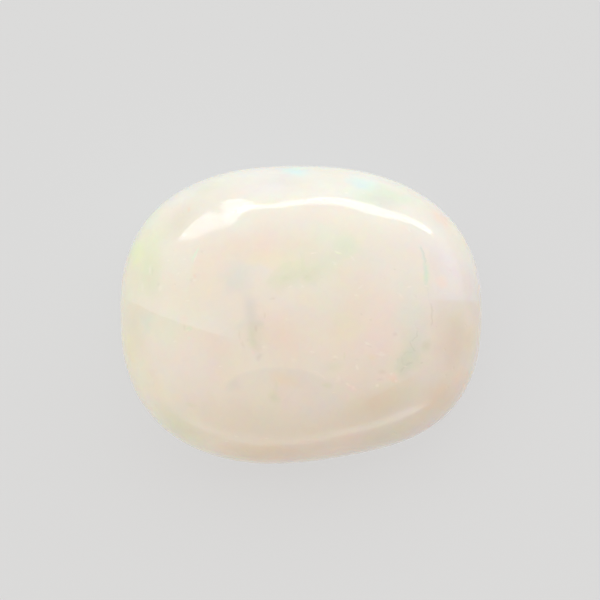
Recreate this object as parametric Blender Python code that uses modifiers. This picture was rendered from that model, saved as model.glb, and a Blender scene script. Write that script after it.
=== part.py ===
"""A polished opal: one hand-cut, cushion-shaped oval stone with a domed top and a flat back.

Standalone Blender script in metres with +Z up. The stone lies on its flat back at z = 0, with its
length along X and its box centred on the Z axis.
"""

import math

import bmesh
import bpy
import numpy as np

MM = 0.001

# Plan outline at the girdle, the widest level: the reach from the girdle's centre to each side.
# No hand-cut stone is quite symmetric, so each quarter of the oval has its own squareness,
# where 2 is an ellipse and a higher value is nearer to a rectangle.
REACH_RIGHT = 10.05 * MM
REACH_LEFT = 9.85 * MM
REACH_FAR = 7.95 * MM
REACH_NEAR = 8.60 * MM
SQUARENESS_FAR_RIGHT = 2.30
SQUARENESS_FAR_LEFT = 2.45
SQUARENESS_NEAR_RIGHT = 2.50
SQUARENESS_NEAR_LEFT = 2.50

# Side profile: a dome above the girdle, and a rounded belly below it that the flat back cuts off.
CROWN_HEIGHT = 4.9 * MM
BELLY_DEPTH = 5.2 * MM
PROFILE_SQUARENESS = 2.4
BACK_BELOW_GIRDLE = 3.4 * MM
BACK_BEVEL = 0.3 * MM

# One flatter side, and the low swells and hollows that cutting and polishing by hand leaves.
# Each is (bearing from +X, height above the girdle, spread, rise): degrees and metres.
SWELLS = (
    (297, 0, 28, -0.50 * MM),    # the flatter side, near right
    (131, 41, 8, 0.08 * MM),     # far shoulder, from left to right
    (107, 39, 8, 0.06 * MM),
    (77, 30, 10, 0.05 * MM),
    (43, 35, 9, 0.07 * MM),
    (258, 25, 12, -0.04 * MM),   # near shoulder, from left to right
    (315, 27, 9, 0.12 * MM),
)

# The surface is a cube's grid blown out to the stone: the cube's size, its cuts, and the digits
# that its grid points are rounded to.
CUBE_SIDE = 2.0
GRID_PER_SIDE = 22
GRID_DIGITS = 6

# The rim of the back is found step by step, from a first guess in radians below the girdle.
RIM_FIRST_GUESS = -0.4
RIM_SEARCH_STEPS = 12

# Only edges sharper than this are bevelled, which is the back's rim alone.
BEVEL_FROM_ANGLE = math.radians(25)

OPAL_COLOUR = (0.82, 0.73, 0.61, 1.0)
OPAL_ROUGHNESS = 0.12
OPAL_IOR = 1.45
OPAL_GLOW_DEPTH = 1.0 * MM


def clear_scene():
    for old in list(bpy.data.objects):
        bpy.data.objects.remove(old, do_unlink=True)


def opal_material():
    material = bpy.data.materials.new("milky_opal")
    material.use_nodes = True
    shader = material.node_tree.nodes["Principled BSDF"]
    shader.inputs["Base Color"].default_value = OPAL_COLOUR
    shader.inputs["Roughness"].default_value = OPAL_ROUGHNESS
    shader.inputs["Metallic"].default_value = 0.0
    shader.inputs["IOR"].default_value = OPAL_IOR
    shader.inputs["Subsurface Weight"].default_value = 1.0
    shader.inputs["Subsurface Scale"].default_value = OPAL_GLOW_DEPTH
    return material


def towards(bearing, height):
    """Unit directions from a bearing in plan and an angle above the girdle, both in radians."""
    level = np.cos(height)
    return np.stack([level * np.cos(bearing), level * np.sin(bearing), np.sin(height)], axis=-1)


def plan_radius(bearing):
    """How far the girdle's outline lies from its centre, towards each bearing."""
    cos, sin = np.cos(bearing), np.sin(bearing)
    reach_x = np.where(cos >= 0, REACH_RIGHT, REACH_LEFT)
    reach_y = np.where(sin >= 0, REACH_FAR, REACH_NEAR)
    squareness = np.where(
        sin >= 0,
        np.where(cos >= 0, SQUARENESS_FAR_RIGHT, SQUARENESS_FAR_LEFT),
        np.where(cos >= 0, SQUARENESS_NEAR_RIGHT, SQUARENESS_NEAR_LEFT),
    )
    inverse = np.abs(cos / reach_x) ** squareness + np.abs(sin / reach_y) ** squareness
    return inverse ** (-1 / squareness)


def surface_radius(bearing, height):
    """How far the rounded surface lies from the girdle's centre, before the back is cut flat."""
    outward = np.cos(height) / plan_radius(bearing)
    upward = np.abs(np.sin(height)) / np.where(height >= 0, CROWN_HEIGHT, BELLY_DEPTH)
    radius = (outward**PROFILE_SQUARENESS + upward**PROFILE_SQUARENESS) ** (-1 / PROFILE_SQUARENESS)
    direction = towards(bearing, height)
    for swell_bearing, swell_height, spread, rise in SWELLS:
        centre = towards(math.radians(swell_bearing), math.radians(swell_height))
        angle = np.arccos(np.clip(direction @ centre, -1, 1))
        radius = radius + rise * np.exp(-((angle / math.radians(spread)) ** 2))
    return radius


def rim_height(bearing):
    """The angle, below the girdle, at which the belly meets the flat back."""
    height = np.full_like(bearing, RIM_FIRST_GUESS)
    for _ in range(RIM_SEARCH_STEPS):
        height = -np.arcsin(BACK_BELOW_GIRDLE / surface_radius(bearing, height))
    return height


def stone_points(on_cube):
    """Moves the grid points of a cube, whose coordinates run from -1 to 1, to the stone's surface.

    The cube's lower face becomes the flat back, and its sides and upper face the rounded surface.
    """
    spread_out = np.tan(on_cube * math.pi / 4)
    bearing = np.arctan2(spread_out[:, 1], spread_out[:, 0])
    height = np.arctan2(spread_out[:, 2], np.hypot(spread_out[:, 0], spread_out[:, 1]))
    level = on_cube[:, 2]
    height = np.where(level < 0, -level * rim_height(bearing), height)
    points = towards(bearing, height) * surface_radius(bearing, height)[:, None]

    # On the back, a point keeps its share of the way from the middle out to the rim.
    share = np.where(level <= -1, np.abs(on_cube[:, :2]).max(axis=1), 1.0)
    points[:, :2] *= share[:, None]
    points[:, 2] = np.where(level <= -1, 0.0, points[:, 2] + BACK_BELOW_GIRDLE)

    middle = (points[:, :2].min(axis=0) + points[:, :2].max(axis=0)) / 2
    points[:, :2] -= middle
    return points


def add_stone(name, collection):
    """A cube, cut into an even grid and blown out to the stone's surface."""
    cage = bmesh.new()
    bmesh.ops.create_cube(cage, size=CUBE_SIDE)
    bmesh.ops.subdivide_edges(cage, edges=cage.edges[:], cuts=GRID_PER_SIDE - 1, use_grid_fill=True)
    on_cube = np.array([vertex.co[:] for vertex in cage.verts], dtype=float).round(GRID_DIGITS)
    for vertex, point in zip(cage.verts, stone_points(on_cube)):
        vertex.co = point
    bmesh.ops.recalc_face_normals(cage, faces=cage.faces[:])

    mesh = bpy.data.meshes.new(name)
    cage.to_mesh(mesh)
    cage.free()
    mesh.shade_smooth()
    mesh.materials.append(opal_material())
    stone = bpy.data.objects.new(name, mesh)
    collection.objects.link(stone)

    bevel = stone.modifiers.new("back_bevel", "BEVEL")
    bevel.limit_method = "ANGLE"
    bevel.angle_limit = BEVEL_FROM_ANGLE
    bevel.width = BACK_BEVEL
    bevel.segments = 1
    return stone


def main():
    clear_scene()
    collection = bpy.data.collections.new("polished_opal")
    bpy.context.scene.collection.children.link(collection)
    add_stone("opal_stone", collection)


main()
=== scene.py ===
import math

import bmesh
import bpy
import numpy as np
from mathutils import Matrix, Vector, noise


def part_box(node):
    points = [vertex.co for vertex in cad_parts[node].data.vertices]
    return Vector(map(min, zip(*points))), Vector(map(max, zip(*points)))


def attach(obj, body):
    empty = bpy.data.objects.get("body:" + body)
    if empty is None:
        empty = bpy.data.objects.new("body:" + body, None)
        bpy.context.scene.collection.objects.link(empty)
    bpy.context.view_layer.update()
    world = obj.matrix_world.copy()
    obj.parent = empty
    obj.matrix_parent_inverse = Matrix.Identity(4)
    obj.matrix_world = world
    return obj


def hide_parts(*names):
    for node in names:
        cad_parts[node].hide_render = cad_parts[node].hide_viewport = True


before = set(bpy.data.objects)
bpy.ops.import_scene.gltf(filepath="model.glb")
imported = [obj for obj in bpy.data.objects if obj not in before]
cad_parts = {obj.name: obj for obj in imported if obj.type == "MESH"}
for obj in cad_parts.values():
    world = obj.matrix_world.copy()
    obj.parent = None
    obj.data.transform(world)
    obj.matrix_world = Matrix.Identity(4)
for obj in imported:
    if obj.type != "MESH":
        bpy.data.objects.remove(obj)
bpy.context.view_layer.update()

mm = 0.001

# how the stone is cut, in mm, before it is fitted to the frame's box
opalForm = {
    "node": "opal_stone",
    "reachRight": 10.05,
    "reachLeft": 9.85,
    "reachFar": 7.95,
    "reachNear": 8.60,
    "squareFarRight": 2.30,  # 2 is an ellipse, more is squarer
    "squareFarLeft": 2.45,
    "squareNearRight": 2.50,
    "squareNearLeft": 2.50,
    "crown": 4.9,
    "belly": 5.2,
    "squareProfile": 2.4,
    "backBelowGirdle": 3.4,
    "backEdge": 0.5,
    "gridPerSide": 120,
    "swells": [  # bearing, height, spread in degrees, rise in mm
        (297, 0, 28, -0.50),  # the flatter side
        (131, 41, 8, 0.08),
        (107, 39, 8, 0.06),
        (77, 30, 10, 0.05),
        (43, 35, 9, 0.07),
        (258, 25, 12, -0.04),
        (315, 27, 9, 0.12),
    ],
    "ripple": 0.004,  # what the polishing wheel left, in mm
    "rippleSize": 1.7,
}


def planRadius(cos, sin):  # from the middle out to the widest level, in mm
    form = opalForm
    reachX = np.where(cos >= 0, form["reachRight"], form["reachLeft"])
    reachY = np.where(sin >= 0, form["reachFar"], form["reachNear"])
    far = np.where(cos >= 0, form["squareFarRight"], form["squareFarLeft"])
    near = np.where(cos >= 0, form["squareNearRight"], form["squareNearLeft"])
    square = np.where(sin >= 0, far, near)
    return (np.abs(cos / reachX) ** square + np.abs(sin / reachY) ** square) ** (-1 / square)


def towards(bearing, height):
    b, h = math.radians(bearing), math.radians(height)
    return np.array((math.cos(h) * math.cos(b), math.cos(h) * math.sin(b), math.sin(h)))


def opalSurface(direction):
    form = opalForm
    across = np.hypot(direction[:, 0], direction[:, 1])
    tiny = 1e-9  # keeps the very top from dividing by nothing
    safe = np.maximum(across, tiny)
    cos = np.where(across > tiny, direction[:, 0] / safe, 1.0)
    sin = np.where(across > tiny, direction[:, 1] / safe, 0.0)
    square = form["squareProfile"]
    half = np.where(direction[:, 2] >= 0, form["crown"], form["belly"])
    outward = (across / planRadius(cos, sin)) ** square
    upward = (np.abs(direction[:, 2]) / half) ** square
    radius = (outward + upward) ** (-1 / square)
    for bearing, height, spread, rise in form["swells"]:
        angle = np.arccos(np.clip(direction @ towards(bearing, height), -1, 1))
        radius = radius + rise * np.exp(-((angle / math.radians(spread)) ** 2))
    points = direction * radius[:, None]
    ripple = [noise.noise(Vector(point / form["rippleSize"])) for point in points]
    points += direction * (np.array(ripple) * form["ripple"])[:, None]

    # the flat back, with its soft edge
    depth, back, edge = -points[:, 2], form["backBelowGirdle"], form["backEdge"]
    blend = np.clip(1 - np.abs(depth - back) / edge, 0, 1)
    points[:, 2] = back - (np.minimum(depth, back) - edge * blend**2 / 4)
    return points * mm


def fitToFrame(points):  # the stone fills the frame's box to the last micron
    low, high = (np.array(corner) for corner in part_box(opalForm["node"]))
    own = points.max(axis=0) - points.min(axis=0)
    return (points - points.min(axis=0)) * (high - low) / own + low


def makeOpal():
    form = opalForm
    cage = bmesh.new()
    bmesh.ops.create_cube(cage, size=2.0)
    cuts = form["gridPerSide"] - 1
    bmesh.ops.subdivide_edges(cage, edges=cage.edges[:], cuts=cuts, use_grid_fill=True)
    # the tangent keeps the grid's squares alike as the cube is blown out
    direction = np.tan(np.array([v.co[:] for v in cage.verts]) * math.pi / 4)
    direction /= np.linalg.norm(direction, axis=1, keepdims=True)
    points = fitToFrame(opalSurface(direction))
    for vertex, point in zip(cage.verts, points):
        vertex.co = point
    bmesh.ops.recalc_face_normals(cage, faces=cage.faces[:])
    mesh = bpy.data.meshes.new("opalStone")
    cage.to_mesh(mesh)
    cage.free()
    mesh.shade_smooth()
    opal = bpy.data.objects.new("opalStone", mesh)
    bpy.context.scene.collection.objects.link(opal)
    return opal


# small helpers for building node trees
def feed(tree, socket, value):
    if isinstance(value, bpy.types.NodeSocket):
        tree.links.new(value, socket)
    elif socket.type == "RGBA" and len(value) == 3:
        socket.default_value = (*value, 1)
    else:
        socket.default_value = value


def calc(tree, operation, *values):
    node = tree.nodes.new("ShaderNodeMath")
    node.operation = operation
    for socket, value in zip(node.inputs, values):
        feed(tree, socket, value)
    return node.outputs[0]


def aim(tree, operation, first, second=None, scale=None):
    node = tree.nodes.new("ShaderNodeVectorMath")
    node.operation = operation
    feed(tree, node.inputs[0], first)
    if second is not None:
        feed(tree, node.inputs[1], second)
    if scale is not None:
        feed(tree, node.inputs["Scale"], scale)
    return node.outputs["Value"] if operation in ("LENGTH", "DOT_PRODUCT") else node.outputs[0]


def fade(tree, value, start, end, low=0.0, high=1.0):
    node = tree.nodes.new("ShaderNodeMapRange")
    node.interpolation_type = "SMOOTHSTEP"
    ends = {"Value": value, "From Min": start, "From Max": end, "To Min": low, "To Max": high}
    for name, number in ends.items():
        feed(tree, node.inputs[name], number)
    return node.outputs[0]


def paint(tree, factor, under, over, mode="MIX"):
    node = tree.nodes.new("ShaderNodeMix")
    node.data_type = "RGBA"
    node.blend_type = mode
    feed(tree, node.inputs[0], factor)
    feed(tree, node.inputs[6], under)  # 6 and 7 are the sockets for colours
    feed(tree, node.inputs[7], over)
    return node.outputs[2]


def cloud(tree, place, scale, detail=2.0, rough=0.5, colour=False):
    node = tree.nodes.new("ShaderNodeTexNoise")
    feed(tree, node.inputs["Vector"], place)
    node.inputs["Scale"].default_value = scale
    node.inputs["Detail"].default_value = detail
    node.inputs["Roughness"].default_value = rough
    return node.outputs["Color"] if colour else node.outputs["Fac"]


def cells(tree, place, scale, feature="SMOOTH_F1", output="Color"):
    node = tree.nodes.new("ShaderNodeTexVoronoi")
    node.feature = feature
    feed(tree, node.inputs["Vector"], place)
    node.inputs["Scale"].default_value = scale
    return node.outputs[output]


def stirred(tree, place, scale, reach, detail=1.5):
    swirl = aim(tree, "SUBTRACT", cloud(tree, place, scale, detail, 0.5, True), (0.5, 0.5, 0.5))
    return aim(tree, "ADD", place, aim(tree, "SCALE", swirl, scale=reach))


opalFinish = {
    "body": (0.886, 0.824, 0.742),
    "ior": 1.45,
    "glowDepth": 0.8 * mm,
    "glowSpread": (1.0, 0.8, 0.6),
}

# worn polish: cloudy gloss, fine ripples and a few pinprick pits
opalPolish = {
    "gloss": (0.04, 0.11),  # roughness where it shines most and least
    "clouds": (0.6, 3.0),  # cells to the mm, detail
    "cloudEdge": (0.35, 0.7),
    "pitsPerMm": 1.1,
    "pitEdge": (0.05, 0.14),  # a pit's floor and rim, as shares of a cell
    "ripples": (2.6, 2.0),  # cells to the mm, detail
    "rippleShare": 0.10,
    "strength": 0.35,
    "depth": 0.02 * mm,
}

# how the marks wander from their drawn shapes: cells to the mm, reach in mm, detail
opalStirs = {
    "flashes": (0.8, 0.7),
    "flashEdges": (3.0, 0.25, 3.0),
    "veilsAndReflectionEdges": (1.6, 0.16),
    "veins": (4.5, 0.22, 3.0),
    "flecks": (5.0, 0.12, 2.5),
    "fleckEdges": (12.0, 0.03),
    "specks": (0.9, 0.5),
    "pits": (2.0, 0.3),
}

opalTints = {
    "pearl": (0.98, 0.93, 0.87),
    "cream": (0.97, 0.90, 0.82),
    "lime": (0.82, 0.97, 0.50),
    "mint": (0.75, 0.95, 0.78),
    "leaf": (0.62, 0.86, 0.60),
    "moss": (0.66, 0.74, 0.50),
    "aqua": (0.55, 0.90, 0.88),
    "teal": (0.60, 0.78, 0.74),
    "slate": (0.64, 0.66, 0.68),
    "smoke": (0.45, 0.43, 0.35),
    "bark": (0.60, 0.50, 0.40),
    "lilac": (0.90, 0.80, 0.86),
    "blush": (0.99, 0.77, 0.74),
    "rose": (0.92, 0.66, 0.56),
    "salmon": (0.94, 0.72, 0.56),
    "coral": (1.00, 0.66, 0.54),
    "amber": (0.95, 0.80, 0.48),
    "umber": (0.76, 0.60, 0.38),
}

# soft flashes and clouds: tint, middle x, y and reach x, y in mm, turn in degrees, strength;
# the painted glow and painted shade among them are marked
opalFlashesAndPaintedLight = [
    # the green left end
    ("lime", -9.0, 3.2, 0.6, 1.0, -15, 0.34),
    ("lime", -8.7, 2.6, 1.6, 3.2, -5, 0.20),
    ("moss", -8.1, 2.0, 0.8, 3.0, 0, 0.14),
    ("moss", -9.3, -0.9, 1.0, 1.5, 10, 0.10),
    ("rose", -9.0, -1.8, 0.9, 1.6, 10, 0.18),
    ("bark", -9.0, -0.6, 1.0, 2.2, 5, 0.08),
    ("teal", -8.2, -0.6, 0.6, 0.9, 25, 0.22),
    ("aqua", -7.1, -1.3, 0.9, 1.2, 0, 0.10),
    ("amber", -9.4, -2.2, 0.7, 1.9, 10, 0.25),
    ("salmon", -8.0, -3.6, 0.6, 2.0, 22, 0.18),
    ("mint", -5.66, 2.84, 0.22, 0.80, -12, 0.14),
    # the warm heart
    ("salmon", -2.1, 3.35, 3.4, 1.3, 0, 0.30),
    ("blush", -0.3, 4.0, 1.8, 1.0, 0, 0.12),
    ("salmon", -4.8, 2.0, 1.4, 2.2, 0, 0.16),
    ("amber", -1.6, 2.5, 1.9, 0.7, 0, 0.20),
    ("slate", -3.57, 1.45, 1.3, 1.3, 0, 0.22),
    ("slate", -2.68, -0.1, 0.55, 1.1, 5, 0.18),
    ("slate", -2.60, -1.1, 0.8, 1.1, 6, 0.16),
    ("rose", -1.2, -1.5, 1.5, 1.9, 0, 0.18),
    ("rose", 0.2, -1.9, 1.6, 1.3, 0, 0.06),
    ("pearl", 0.9, -2.0, 1.4, 1.6, 0, 0.10),
    ("bark", -2.4, -1.35, 0.7, 1.2, 0, 0.10),
    ("amber", 0.5, 0.4, 1.3, 0.7, 0, 0.08),
    ("moss", -0.9, 1.6, 1.3, 0.8, 30, 0.28),
    ("moss", 0.5, 1.8, 1.2, 0.9, 15, 0.26),
    ("leaf", 1.65, 2.3, 1.1, 0.9, 0, 0.18),
    ("leaf", 2.5, 3.4, 0.9, 0.8, 0, 0.24),
    ("mint", 1.3, 3.9, 1.3, 0.8, -10, 0.18),
    ("leaf", 1.0, 2.6, 3.0, 2.2, 20, 0.10),
    ("salmon", 3.0, 1.2, 1.8, 1.8, 0, 0.18),
    ("amber", 2.4, -0.9, 1.6, 1.6, 0, 0.14),
    ("blush", 4.3, -0.9, 1.2, 2.2, 0, 0.26),
    ("blush", 3.7, -2.3, 1.5, 1.1, 0, 0.24),
    # the cool right side and its veins
    ("teal", 5.7, 1.2, 0.9, 1.7, 0, 0.12),
    ("lilac", 5.6, 0.6, 1.2, 2.4, 0, 0.14),
    ("aqua", 6.1, -0.4, 1.2, 1.4, 0, 0.08),
    ("teal", 6.1, -1.9, 0.9, 1.0, 0, 0.10),
    ("slate", 6.0, -2.1, 0.9, 1.0, 0, 0.12),
    ("moss", 5.8, -2.7, 0.7, 0.8, -30, 0.15),
    ("teal", 5.8, -2.7, 0.7, 0.8, -30, 0.08),
    ("moss", 5.5, -3.3, 0.5, 0.7, 10, 0.16),
    ("slate", 5.5, -3.2, 0.5, 0.8, 10, 0.12),
    ("moss", 6.80, -2.0, 0.40, 0.45, 0, 0.20),
    ("smoke", 6.80, -1.95, 0.32, 0.36, 0, 0.08),
    ("leaf", 6.74, 1.90, 0.26, 0.75, 0, 0.30),
    ("cream", 7.61, 1.52, 0.45, 0.45, 0, 0.42),
    ("coral", 7.61, 1.52, 0.42, 0.42, 0, 0.33),
    ("bark", 7.3, 2.5, 0.7, 1.1, 0, 0.08),
    ("lilac", 8.3, 2.3, 1.7, 2.6, 0, 0.30),
    ("lilac", 7.4, 0.6, 1.2, 1.2, 0, 0.20),
    ("umber", 8.6, -1.8, 1.9, 1.8, 0, 0.24),
    ("slate", 8.3, -1.9, 1.7, 1.4, 0, 0.10),
    ("amber", 9.3, -1.6, 0.6, 1.6, 0, 0.14),
    ("coral", 8.9, -3.7, 0.8, 1.0, 20, 0.20),
    # the near side
    ("blush", 4.90, -3.75, 0.42, 0.36, 0, 0.40),
    ("coral", 4.98, -3.90, 0.28, 0.22, 0, 0.22),
    ("blush", 4.4, -3.7, 0.9, 0.5, 0, 0.25),
    ("blush", 2.7, -3.4, 1.2, 0.9, 0, 0.20),
    ("moss", 1.33, -4.10, 0.36, 0.28, -10, 0.26),
    ("amber", -0.8, -3.9, 1.0, 0.6, -20, 0.26),
    ("moss", -1.4, -4.75, 0.45, 0.5, 0, 0.26),
    ("slate", -3.7, -4.2, 0.5, 0.4, 0, 0.16),
    ("rose", -4.5, -2.5, 1.1, 1.6, 0, 0.16),
    ("lilac", -6.1, -3.6, 2.3, 2.6, 0, 0.20),
    ("lilac", -5.4, -2.2, 1.6, 2.2, 0, 0.09),
    ("lilac", 1.2, -5.1, 2.6, 1.2, 0, 0.08),
    ("pearl", 0.9, -5.2, 1.4, 1.0, 0, 0.10),
    ("smoke", -3.2, -5.7, 2.4, 1.1, -8, 0.05),
    ("slate", -4.3, -6.6, 1.6, 0.8, -15, 0.12),
    ("umber", 4.2, -5.1, 2.4, 1.0, 18, 0.10),
    ("moss", 4.4, -5.0, 2.6, 1.0, 18, 0.14),
    ("moss", -6.8, -6.2, 2.2, 0.9, -32, 0.22),
    # painted shade: darker and browner along the near rim
    ("umber", -2.0, -7.8, 3.6, 0.8, 0, 0.20),
    ("moss", 4.6, -6.9, 2.6, 0.8, 18, 0.20),
    ("umber", 7.6, -4.9, 1.6, 1.2, 40, 0.22),
    # the far rim
    ("lilac", -6.6, 5.8, 1.1, 0.8, 30, 0.20),
    ("bark", -6.5, 4.9, 1.9, 1.0, 35, 0.17),
    # painted highlight: a soft pale glow just above the long far reflection
    ("pearl", 0.3, 6.1, 2.4, 0.4, 0, 0.26),
    ("rose", -6.3, 5.6, 1.0, 0.6, 30, 0.16),
    ("moss", -5.1, 6.6, 1.1, 0.6, 25, 0.20),
    ("lilac", -2.2, 6.5, 2.0, 0.8, 0, 0.16),
    ("rose", -3.9, 6.3, 2.2, 0.9, 15, 0.16),
    ("slate", -1.1, 7.0, 1.6, 0.5, 0, 0.14),
    ("aqua", -0.3, 7.6, 1.0, 0.6, 0, 0.40),
    ("coral", 1.6, 7.5, 1.5, 0.6, 0, 0.20),
    ("aqua", 3.3, 6.9, 1.0, 0.5, -12, 0.34),
    ("leaf", 3.6, 6.2, 1.9, 0.5, -14, 0.22),
    ("slate", 4.2, 6.0, 1.6, 0.5, -16, 0.14),
    ("leaf", 4.9, 6.3, 1.7, 0.6, -20, 0.34),
    ("leaf", 3.9, 5.7, 1.8, 0.5, -15, 0.18),
    ("blush", 0.1, 4.9, 2.0, 0.7, 0, 0.18),
    ("bark", 4.6, 5.8, 1.6, 0.8, -20, 0.11),
    ("coral", 7.6, 5.2, 0.9, 0.6, -42, 0.34),
]


flashBall = {
    "size": 1.15,  # times the reach that is given
    "core": 0.91,  # where its strength is full, from 0 at the rim to 1 in the middle
    "depth": 1.5,  # least reach down into the stone, in mm
}


def crownHeight(x, y):  # of the polished surface above the floor, in mm
    form = opalForm
    outward = max(math.hypot(x, y), 1e-6)  # never quite the middle
    edge = planRadius(np.array([x / outward]), np.array([y / outward]))[0]
    share = min(outward / edge, 0.99) ** form["squareProfile"]  # nor past the rim
    return (1 - share) ** (1 / form["squareProfile"]) * form["crown"] + form["backBelowGirdle"]


def flash(tree, place, x, y, reachX, reachY, turn, strength):
    node = tree.nodes.new("ShaderNodeMapping")
    node.vector_type = "TEXTURE"
    feed(tree, node.inputs["Vector"], place)
    node.inputs["Location"].default_value = (x, y, crownHeight(x, y))
    node.inputs["Rotation"].default_value = (0, 0, math.radians(turn))
    reachDown = max(flashBall["depth"], reachX, reachY)
    node.inputs["Scale"].default_value = [flashBall["size"] * r for r in (reachX, reachY, reachDown)]
    ball = tree.nodes.new("ShaderNodeTexGradient")
    ball.gradient_type = "SPHERICAL"
    feed(tree, ball.inputs["Vector"], node.outputs[0])
    return fade(tree, ball.outputs["Fac"], 0.0, flashBall["core"], 0.0, strength)


reflectionEdgeAndVeilFade = (1.0, 3.4)  # heights between which the veils and painted reflection edges come in, in mm
veilEnds = (1.05, 0.6)  # where a veil ends and where it is full, as shares of half its length

# planes that meet the surface in a line: tint, three points along it in mm, how far the tint
# reaches to the left and to the right of that way, strength. Those marked below are painted
# reflection edges, lighter where the polish reflects the bright part of the studio and darker
# where it reflects the dim part
opalVeilsAndReflectionEdges = [
    # painted reflection edge on the left: lighter above the line, darker below it
    ("pearl", (-9.9, 0.90), (-6.8, -0.66), (-3.5, -1.65), 1.5, 0.05, 0.22),
    ("umber", (-9.9, 0.90), (-6.8, -0.66), (-3.5, -1.65), 0.05, 1.6, 0.08),
    # painted reflection edge low on the crown: darker below the arc, lighter above it
    ("slate", (-4.4, -4.25), (-1.3, -3.25), (1.7, -4.15), 0.12, 2.4, 0.13),
    ("pearl", (-4.4, -4.25), (-1.3, -3.25), (1.7, -4.15), 0.7, 0.08, 0.08),
    ("umber", (3.3, -5.2), (4.7, -4.4), (6.4, -3.5), 0.14, 1.2, 0.12),
    # painted reflection edge on the right: darker below the line
    ("umber", (6.9, 0.36), (8.4, 0.38), (10.2, 0.50), 0.25, 2.4, 0.15),
    ("mint", (-5.6, 3.9), (-5.9, 2.0), (-6.1, 0.2), 0.10, 0.5, 0.08),
    ("rose", (-5.6, 3.9), (-5.9, 2.0), (-6.1, 0.2), 0.9, 0.10, 0.06),
]

# ragged veins, given in the same way
opalVeins = [
    # the crack down the right side
    ("smoke", (6.42, 3.45), (6.62, 2.91), (6.74, 2.37), 0.10, 0.08, 0.16),
    ("teal", (6.38, 3.60), (6.70, 2.3), (6.70, 1.1), 0.13, 0.17, 0.26),
    ("slate", (6.72, 1.4), (6.80, 0.9), (6.93, 0.4), 0.06, 0.10, 0.12),
    ("smoke", (6.93, 0.37), (7.07, -0.1), (7.00, -1.05), 0.08, 0.10, 0.17),
    ("smoke", (6.24, -1.12), (6.20, -1.45), (5.88, -1.79), 0.06, 0.06, 0.15),
    ("smoke", (5.88, -1.75), (5.93, -2.06), (6.12, -2.36), 0.06, 0.06, 0.14),
    ("smoke", (6.02, -2.36), (5.70, -2.40), (5.46, -2.58), 0.05, 0.12, 0.08),
    ("smoke", (5.46, -2.52), (5.40, -2.82), (5.56, -3.10), 0.12, 0.06, 0.07),
    ("smoke", (6.10, -2.95), (5.70, -3.04), (5.35, -3.55), 0.07, 0.10, 0.13),
    ("teal", (6.75, -0.6), (6.15, -1.9), (5.30, -3.0), 0.25, 0.3, 0.07),
    # across the middle
    ("moss", (-1.9, 1.2), (-1.2, 2.1), (-0.1, 2.5), 0.10, 0.5, 0.10),
    ("moss", (-0.10, 3.05), (0.02, 2.5), (0.0, 1.7), 0.35, 0.06, 0.12),
    ("cream", (0.60, -3.35), (1.0, -3.55), (1.35, -3.90), 0.05, 0.05, 0.35),
]
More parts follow.
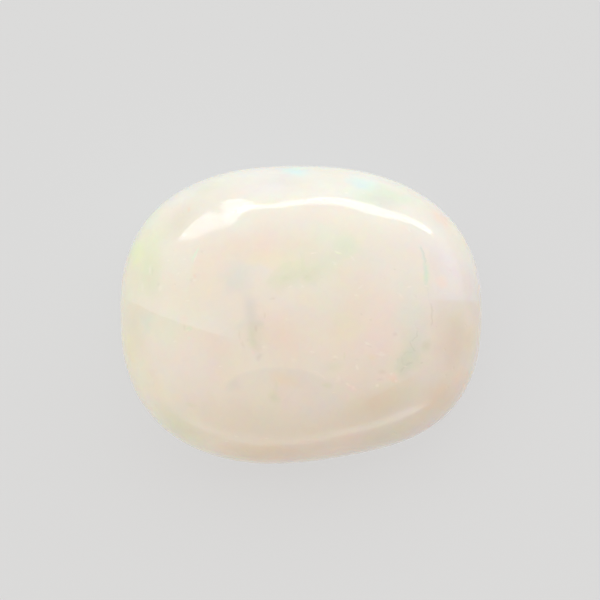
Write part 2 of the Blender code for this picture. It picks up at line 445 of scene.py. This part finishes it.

# little flecks and scratches, given as the flashes are. The cream and pearl ones are painted
# glints where light catches on them, and the small smoke ones right beside those are their
# painted shade
opalFlecksAndGlints = [
    # round the knocked place, near right
    ("cream", 3.55, -1.92, 0.20, 0.10, -25, 0.70),
    ("smoke", 3.66, -2.08, 0.16, 0.06, -20, 0.10),
    ("cream", 4.28, -2.51, 0.36, 0.10, -8, 0.60),
    ("cream", 1.82, -2.66, 0.22, 0.10, -5, 0.60),
    ("smoke", 1.80, -2.79, 0.18, 0.06, 0, 0.08),
    ("cream", 2.99, -3.20, 0.09, 0.18, 15, 0.80),
    ("smoke", 2.99, -2.80, 0.15, 0.07, 0, 0.07),
    ("amber", 3.80, -2.66, 0.30, 0.26, 0, 0.14),
    ("blush", 3.90, -3.00, 0.25, 0.25, 0, 0.25),
    ("cream", 2.52, -4.12, 0.22, 0.10, -30, 0.75),
    ("cream", 2.80, -4.28, 0.16, 0.12, -40, 0.75),
    ("blush", 2.72, -4.30, 0.40, 0.26, -30, 0.35),
    ("blush", 2.50, -4.75, 0.16, 0.30, 0, 0.25),
    ("cream", 4.08, -4.16, 0.12, 0.11, 0, 0.85),
    ("smoke", 4.22, -3.84, 0.24, 0.10, 0, 0.10),
    ("bark", 4.35, -3.44, 0.28, 0.16, 0, 0.16),
    ("cream", 5.12, -3.90, 0.14, 0.10, -30, 0.60),
    ("cream", 4.85, -3.55, 0.12, 0.08, 40, 0.50),
    ("cream", 2.00, -3.80, 0.16, 0.20, 20, 0.40),
    ("cream", 1.95, -3.95, 0.20, 0.10, -10, 0.30),
    ("moss", 2.32, -2.60, 0.10, 0.26, 0, 0.20),
    ("moss", 1.78, -3.17, 0.60, 0.35, 0, 0.12),
    ("smoke", 3.22, -0.37, 0.10, 0.10, 0, 0.10),
    ("bark", 5.04, -1.42, 0.18, 0.14, 0, 0.17),
    # the left side
    ("rose", -6.08, 5.45, 0.12, 0.20, 0, 0.35),
    ("pearl", -6.30, 4.02, 0.16, 0.12, 0, 0.60),
    ("cream", -8.19, 2.15, 0.09, 0.30, 0, 0.50),
    ("smoke", -8.03, 2.05, 0.06, 0.34, 0, 0.07),
    ("cream", -7.60, 1.15, 0.14, 0.26, -10, 0.45),
    ("smoke", -7.70, 1.35, 0.10, 0.12, 0, 0.07),
    ("cream", -8.60, 1.25, 0.08, 0.32, 0, 0.30),
    ("blush", -7.45, 1.75, 0.10, 0.24, 15, 0.25),
    ("mint", -5.62, 3.05, 0.07, 0.36, -22, 0.40),
    ("mint", -5.78, 2.78, 0.06, 0.36, -14, 0.45),
    ("pearl", -5.69, 2.72, 0.05, 0.34, -18, 0.45),
    ("smoke", -5.34, 3.05, 0.10, 0.12, 0, 0.08),
    ("rose", -5.72, 1.72, 0.10, 0.16, 20, 0.30),
    ("smoke", -5.90, 1.50, 0.12, 0.14, 0, 0.07),
    ("leaf", -6.02, -1.12, 0.24, 0.20, 20, 0.30),
    ("cream", -6.10, -1.20, 0.14, 0.08, 10, 0.40),
    ("smoke", -6.27, -1.02, 0.10, 0.20, 5, 0.12),
    ("blush", -6.34, -0.60, 0.32, 0.35, 0, 0.28),
    ("lilac", -6.60, -0.60, 0.12, 0.40, 0, 0.35),
    ("mint", -6.01, -1.60, 0.18, 0.14, 0, 0.22),
    ("mint", -7.83, -0.45, 0.60, 0.30, 20, 0.16),
    ("moss", -5.95, -5.15, 0.40, 0.15, -15, 0.16),
    # the dark patch
    ("slate", -2.68, 0.10, 0.32, 0.60, 0, 0.09),
    ("moss", -2.70, -0.20, 0.34, 0.66, 0, 0.08),
    ("smoke", -2.72, -0.90, 0.44, 0.30, 0, 0.05),
    ("smoke", -2.20, -0.95, 0.32, 0.26, -30, 0.06),
    ("slate", -3.30, -1.00, 0.42, 0.24, 40, 0.12),
    ("moss", -2.66, -1.40, 0.30, 0.56, 0, 0.22),
    ("smoke", -2.60, -1.55, 0.26, 0.50, 5, 0.04),
    ("moss", -2.56, -1.95, 0.32, 0.32, 10, 0.22),
    ("bark", -2.42, -1.15, 0.12, 0.22, 0, 0.24),
    ("smoke", -2.86, -1.75, 0.16, 0.12, 30, 0.06),
    ("bark", -3.30, -1.50, 0.10, 0.34, 4, 0.12),
    ("bark", -3.12, -2.00, 0.12, 0.26, 25, 0.12),
    ("bark", -2.35, -2.20, 0.36, 0.36, 0, 0.10),
    ("smoke", -2.19, -2.58, 0.24, 0.16, 25, 0.12),
    ("bark", -2.30, -2.72, 0.18, 0.16, -20, 0.15),
    ("bark", -1.96, -0.46, 0.09, 0.22, 0, 0.17),
    ("bark", -1.52, 0.46, 0.22, 0.10, 15, 0.16),
    ("cream", -1.99, -2.12, 0.18, 0.11, 0, 0.40),
    ("blush", -2.58, -2.40, 0.22, 0.12, -50, 0.20),
    # the middle
    ("cream", 0.66, 2.92, 0.26, 0.05, 6, 0.60),
    ("pearl", 1.98, 2.96, 0.25, 0.06, -20, 0.60),
    ("lime", 1.98, 2.93, 0.25, 0.07, -20, 0.25),
    ("moss", 0.35, 1.60, 0.34, 0.30, 35, 0.18),
    ("smoke", 0.25, 1.62, 0.22, 0.14, 35, 0.04),
    ("moss", -0.85, 1.60, 0.40, 0.22, 0, 0.14),
    ("pearl", 2.76, 2.65, 0.25, 0.07, -45, 0.30),
    ("pearl", 1.78, 2.40, 0.22, 0.12, -20, 0.22),
    ("pearl", 3.19, 1.09, 0.26, 0.07, 40, 0.28),
    ("cream", 5.35, 0.67, 0.26, 0.09, -45, 0.40),
    ("cream", 0.08, 1.12, 0.12, 0.12, 0, 0.40),
    ("cream", -0.58, 1.10, 0.16, 0.08, 20, 0.40),
    ("cream", -0.76, -0.65, 0.16, 0.10, 0, 0.30),
    ("cream", -0.40, -2.84, 0.20, 0.16, 0, 0.30),
    ("moss", -1.34, -4.15, 0.12, 0.30, 0, 0.16),
]


def veil(tree, place, start, through, end, leftReach, rightReach, strength):
    # the circle that runs through the three points
    start, through, end = (np.array(point) for point in (start, through, end))
    lines = np.array((through - start, end - start)) * 2
    middle = np.linalg.solve(lines, [through @ through - start @ start, end @ end - start @ start])
    radius = np.linalg.norm(start - middle)
    chord = end - start
    half = np.linalg.norm(chord) / 2
    along = chord / (2 * half)
    centreIsLeft = along[0] * (middle - start)[1] - along[1] * (middle - start)[0] > 0

    # seen from above: how far a point lies to the left of the line, and how far along it
    flat = aim(tree, "MULTIPLY", place, (1, 1, 0))
    outwards = aim(tree, "SUBTRACT", flat, (*middle, 0))
    distance = aim(tree, "LENGTH", outwards)
    inOrder = (radius, distance) if centreIsLeft else (distance, radius)
    left = calc(tree, "SUBTRACT", *inOrder)
    across = calc(tree, "MULTIPLY", fade(tree, left, leftReach, 0), fade(tree, left, -rightReach, 0))
    offset = aim(tree, "SUBTRACT", flat, (*((start + end) / 2), 0))
    run = calc(tree, "ABSOLUTE", aim(tree, "DOT_PRODUCT", offset, (*along, 0)))
    outerEnd, innerEnd = veilEnds
    lengthwise = fade(tree, run, half * outerEnd, half * innerEnd, 0, strength)
    sameSide = calc(tree, "GREATER_THAN", aim(tree, "DOT_PRODUCT", outwards, (*(through - middle), 0)), 0)
    return calc(tree, "MULTIPLY", calc(tree, "MULTIPLY", across, lengthwise), sameSide)


# the faint play of colour that runs all through the stone, livelier towards the rim and the sides
playOfColour = {
    "patches": [(2.6, 0.042), (1.1, 0.018)],  # size in mm, how far a patch shifts the colour
    "grain": (0.30, 0.008),
    "apart": (31, -17, 11),  # how far aside each layer is read, in its own sizes
    "quietAbove": 7.4,  # height in mm
    "livelyBelow": 2.4,
    "lively": 1.9,  # times as strong down there
}


def playedOver(tree, fine, place, colour):
    height = tree.nodes.new("ShaderNodeSeparateXYZ")
    feed(tree, height.inputs[0], place)
    play = playOfColour
    life = fade(tree, height.outputs["Z"], play["quietAbove"], play["livelyBelow"], 1.0, play["lively"])
    shades = []
    for size, shift in play["patches"]:
        seeded = aim(tree, "ADD", fine, [size * step for step in play["apart"]])
        shades.append((cloud(tree, seeded, 1 / size, 1.0, 0.5, True), shift))
    size, shift = play["grain"]
    shades.append((cells(tree, fine, 1 / size, "F1"), shift))
    for shade, shift in shades:
        lifted = paint(tree, 1.0, shade, (0.5, 0.5, 0.5), "ADD")  # mid grey changes nothing
        colour = paint(tree, calc(tree, "MULTIPLY", life, 2 * shift), colour, lifted, "MULTIPLY")
    return colour


speckCore = 0.3  # the share of a speck's radius that has its full strength

# specks: a few all over, short dashes, and many more where it was knocked. The pale ones are
# painted glints where light catches on small pits; the dark ones are dark specks in the stone
opalSpecksAndGlints = {
    # painted glints
    "pale": {
        "tint": "cream",
        "perMm": 2.0,
        "turn": 40,
        "stretch": (0.75, 1.7, 1.0),
        "radius": 0.12,
        "strength": 0.45,
        "share": 0.04,
        "knocks": [  # middle x, y and reach x, y in mm, turn, how much more of a share
            (3.6, -3.0, 2.4, 1.7, 20, 0.55),
            (-6.6, 0.8, 1.6, 4.2, -6, 0.25),
        ],
    },
    "dark": {
        "tint": "smoke",
        "perMm": 1.6,
        "turn": -70,
        "stretch": (0.8, 1.5, 1.0),
        "radius": 0.09,
        "strength": 0.14,
        "share": 0.02,
        "knocks": [
            (5.9, -1.8, 1.3, 2.4, -10, 0.60),
            (-6.4, -0.6, 1.2, 3.0, 0, 0.25),
            (1.5, -3.6, 1.6, 0.9, 0, 0.30),
        ],
    },
}


def specked(tree, place, specks, colour):
    turned = tree.nodes.new("ShaderNodeMapping")
    feed(tree, turned.inputs["Vector"], stirred(tree, place, *opalStirs["specks"]))
    turned.inputs["Rotation"].default_value = (0, 0, math.radians(specks["turn"]))
    turned.inputs["Scale"].default_value = specks["stretch"]
    node = tree.nodes.new("ShaderNodeTexVoronoi")
    feed(tree, node.inputs["Vector"], turned.outputs[0])
    node.inputs["Scale"].default_value = specks["perMm"]
    share = specks["share"]
    for knock in specks["knocks"]:
        share = calc(tree, "ADD", flash(tree, place, *knock), share)
    lit = calc(tree, "LESS_THAN", aim(tree, "DOT_PRODUCT", node.outputs["Color"], (1, 0, 0)), share)
    reach = specks["radius"] * specks["perMm"]
    dot = fade(tree, node.outputs["Distance"], reach, reach * speckCore, 0, specks["strength"])
    return paint(tree, calc(tree, "MULTIPLY", dot, lit), colour, opalTints[specks["tint"]])


def opalMaterial():
    material = bpy.data.materials.new("milkyOpal")
    material.use_nodes = True
    tree = material.node_tree
    shader = tree.nodes["Principled BSDF"]
    shader.inputs["IOR"].default_value = opalFinish["ior"]
    shader.inputs["Subsurface Weight"].default_value = 1.0
    shader.inputs["Subsurface Radius"].default_value = opalFinish["glowSpread"]
    shader.inputs["Subsurface Scale"].default_value = opalFinish["glowDepth"]

    coord = tree.nodes.new("ShaderNodeTexCoord")
    place = aim(tree, "SCALE", coord.outputs["Object"], scale=1 / mm)
    fine = stirred(tree, stirred(tree, place, *opalStirs["flashes"]), *opalStirs["flashEdges"])
    colour = opalFinish["body"]

    for tint, *shape in opalFlashesAndPaintedLight:
        colour = paint(tree, flash(tree, fine, *shape), colour, opalTints[tint])

    crisp = stirred(tree, place, *opalStirs["veilsAndReflectionEdges"])
    shown = fade(tree, aim(tree, "DOT_PRODUCT", place, (0, 0, 1)), *reflectionEdgeAndVeilFade)
    for tint, *shape in opalVeilsAndReflectionEdges:
        factor = calc(tree, "MULTIPLY", veil(tree, crisp, *shape), shown)
        colour = paint(tree, factor, colour, opalTints[tint])
    ragged = stirred(tree, crisp, *opalStirs["veins"])
    for tint, *shape in opalVeins:
        colour = paint(tree, veil(tree, ragged, *shape), colour, opalTints[tint])

    colour = playedOver(tree, fine, place, colour)
    # stirred twice, as the flashes are: marks that are ready long before they are painted pile up
    # in the renderer's small store of values, and past its limit the stone turns black
    bent = stirred(tree, stirred(tree, place, *opalStirs["flecks"]), *opalStirs["fleckEdges"])
    for tint, *shape in opalFlecksAndGlints:
        colour = paint(tree, flash(tree, bent, *shape), colour, opalTints[tint])
    for specks in opalSpecksAndGlints.values():
        colour = specked(tree, place, specks, colour)
    feed(tree, shader.inputs["Base Color"], colour)

    polish = opalPolish
    smear = fade(tree, cloud(tree, place, *polish["clouds"]), *polish["cloudEdge"], *polish["gloss"])
    feed(tree, shader.inputs["Roughness"], smear)
    pits = cells(tree, stirred(tree, place, *opalStirs["pits"]), polish["pitsPerMm"], "F1", "Distance")
    floors = fade(tree, pits, *polish["pitEdge"])
    ripples = calc(tree, "MULTIPLY", cloud(tree, place, *polish["ripples"]), polish["rippleShare"])
    relief = calc(tree, "ADD", floors, ripples)
    bump = tree.nodes.new("ShaderNodeBump")
    bump.inputs["Strength"].default_value = polish["strength"]
    bump.inputs["Distance"].default_value = polish["depth"]
    feed(tree, bump.inputs["Height"], relief)
    feed(tree, shader.inputs["Normal"], bump.outputs["Normal"])
    return material


floorLook = {"size": 3.0, "tone": 0.718, "drop": 0.02 * mm, "shadowShare": 0.2, "albedo": 0.72}


def makeFloor():
    bpy.ops.mesh.primitive_plane_add(size=floorLook["size"], location=(0, 0, -floorLook["drop"]))
    floor = bpy.context.object
    floor.name = "floor"
    material = bpy.data.materials.new("palePaper")
    material.use_nodes = True
    tree = material.node_tree
    shader = tree.nodes["Principled BSDF"]
    shader.inputs["Roughness"].default_value = 1.0
    shader.inputs["Specular IOR Level"].default_value = 0.0
    tone = floorLook["albedo"]
    shader.inputs["Base Color"].default_value = (tone, tone, tone, 1)
    glow = tree.nodes.new("ShaderNodeEmission")
    glow.inputs["Strength"].default_value = floorLook["tone"]
    glow.inputs["Color"].default_value = (1, 1, 1, 1)
    mix = tree.nodes.new("ShaderNodeMixShader")
    mix.inputs["Fac"].default_value = floorLook["shadowShare"]
    tree.links.new(glow.outputs[0], mix.inputs[1])
    tree.links.new(shader.outputs[0], mix.inputs[2])
    tree.links.new(mix.outputs[0], tree.nodes["Material Output"].inputs["Surface"])
    floor.data.materials.append(material)
    return floor


# the studio round the stone: a bright far side, a dim near side, and a low glow near the front
skyLook = {
    "farHigh": (1.41, 1.45, 1.45),
    "farLowLeft": (0.65, 0.86, 0.89),
    "farLowRight": (1.47, 1.74, 1.88),
    "nearLeft": (0.87, 0.81, 0.67),
    "nearRight": (0.33, 0.16, 0.12),
    "frontGlow": (1.22, 1.39, 1.38),
    "leftToRight": (-0.6, 0.6),  # directions between which one part turns into the next
    "lowToHigh": (0.2, 0.7),
    "nearToFar": (0.03, 0.15),
    "glowUpTo": (0.35, 0.08),
    "glowInFrontOf": (-0.35, -0.85),
}


def makeSky():
    world = bpy.data.worlds.new("studio")
    bpy.context.scene.world = world
    world.use_nodes = True
    tree = world.node_tree
    coord = tree.nodes.new("ShaderNodeTexCoord")
    split = tree.nodes.new("ShaderNodeSeparateXYZ")
    feed(tree, split.inputs[0], coord.outputs["Generated"])
    toRight, toFar, up = split.outputs
    sky = skyLook
    right = fade(tree, toRight, *sky["leftToRight"])
    farLow = paint(tree, right, sky["farLowLeft"], sky["farLowRight"])
    far = paint(tree, fade(tree, up, *sky["lowToHigh"]), farLow, sky["farHigh"])
    near = paint(tree, right, sky["nearLeft"], sky["nearRight"])
    lowDown, inFront = fade(tree, up, *sky["glowUpTo"]), fade(tree, toFar, *sky["glowInFrontOf"])
    near = paint(tree, calc(tree, "MULTIPLY", lowDown, inFront), near, sky["frontGlow"])
    whole = paint(tree, fade(tree, toFar, *sky["nearToFar"]), near, far)
    feed(tree, tree.nodes["Background"].inputs["Color"], whole)
    return world


# long windows seen in the polish: middle, width and height in m, tilt in degrees, strength, and
# the share over which each fades in from its left, right, lower and upper side; no two share a plane
windows = {
    "farStrip": ((0.0695, 0.120, 0.062), (0.145, 0.034), -12, 4.95, (0.07, 0.01, 0.12, 0.30)),
    "farGap": ((-0.0150, 0.122, 0.0785), (0.046, 0.021), -4, 4.9, (0.06, 0.18, 0.15, 0.35)),
    "farCore": ((-0.0460, 0.124, 0.0775), (0.031, 0.072), 13, 3.6, (0.45, 0.05, 0.06, 0.30), "ELLIPSE"),
    "farTail": ((-0.1010, 0.126, 0.1225), (0.127, 0.068), -31, 3.6, (0.22, 0.14, 0.06, 0.40)),
    "nearLeft": ((-0.048, -0.071, 0.019), (0.048, 0.012), 0, 0.36, (0.50, 0.02, 0.10, 0.40)),
    "nearStrip": ((-0.006, -0.065, 0.006), (0.038, 0.012), 0, 0.72, (0.10, 0.05, 0.02, 0.40)),
    "nearRise": ((0.021, -0.067, 0.0145), (0.020, 0.020), 0, 0.60, (0.05, 0.05, 0.05, 0.30)),
    "nearRight": ((0.053, -0.069, 0.016), (0.048, 0.026), 0, 1.10, (0.05, 0.35, 0.05, 0.30)),
}


def addWindow(name, middle, size, tilt, strength, soft, shape="RECTANGLE"):
    lamp = bpy.data.lights.new(name, "AREA")
    lamp.shape = shape
    lamp.size, lamp.size_y = size
    lamp.energy = strength * math.pi * size[0] * size[1]
    window = bpy.data.objects.new(name, lamp)
    bpy.context.scene.collection.objects.link(window)
    window.location = middle
    farSide = middle[1] > 0
    facing = 180 if farSide else 0  # every window looks at the stone
    window.rotation_euler = (math.radians(90), math.radians(tilt), math.radians(facing))
    window.visible_camera = False
    window.visible_diffuse = False

    lamp.use_nodes = True
    tree = lamp.node_tree
    split = tree.nodes.new("ShaderNodeSeparateXYZ")
    feed(tree, split.inputs[0], tree.nodes.new("ShaderNodeNewGeometry").outputs["Parametric"])
    across, up = split.outputs[:2]
    if farSide:
        across = calc(tree, "SUBTRACT", 1, across)
    left, right, low, high = soft
    level = calc(tree, "MULTIPLY", fade(tree, across, 0, left), fade(tree, across, 1, 1 - right))
    level = calc(tree, "MULTIPLY", level, fade(tree, up, 0, low))
    level = calc(tree, "MULTIPLY", level, fade(tree, up, 1, 1 - high))
    feed(tree, tree.nodes["Emission"].inputs["Strength"], level)
    return window


lens = {
    "elevation": 85.0,
    "distance": 165 * mm,
    "viewWidth": 33.1 * mm,
    "sensor": 36.0,
    "aim": (-0.06 * mm, 0.81 * mm, 3.4 * mm),
}


def makeCamera():
    rise = math.radians(lens["elevation"])
    back = Vector((0, -math.cos(rise), math.sin(rise)))
    data = bpy.data.cameras.new("camera")
    data.sensor_width = lens["sensor"]
    data.lens = lens["sensor"] * lens["distance"] / lens["viewWidth"]
    data.clip_start = 1 * mm
    camera = bpy.data.objects.new("camera", data)
    bpy.context.scene.collection.objects.link(camera)
    camera.location = Vector(lens["aim"]) + back * lens["distance"]
    camera.rotation_euler = (-back).to_track_quat("-Z", "Y").to_euler()
    bpy.context.scene.camera = camera
    return camera


makeCamera()
makeFloor()
makeSky()
print("stage ready")
for name, facts in windows.items():
    addWindow(name, *facts)
bpy.context.scene.view_settings.view_transform = "Standard"
bpy.context.scene.cycles.use_denoising = True
print("windows ready:", len(windows))

opal = makeOpal()
print("opal cut:", len(opal.data.polygons) * 2, "triangles")
opal.data.materials.append(opalMaterial())
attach(opal, "root")
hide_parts(opalForm["node"])
print("opal polished:", len(opal.active_material.node_tree.nodes), "nodes in its finish")
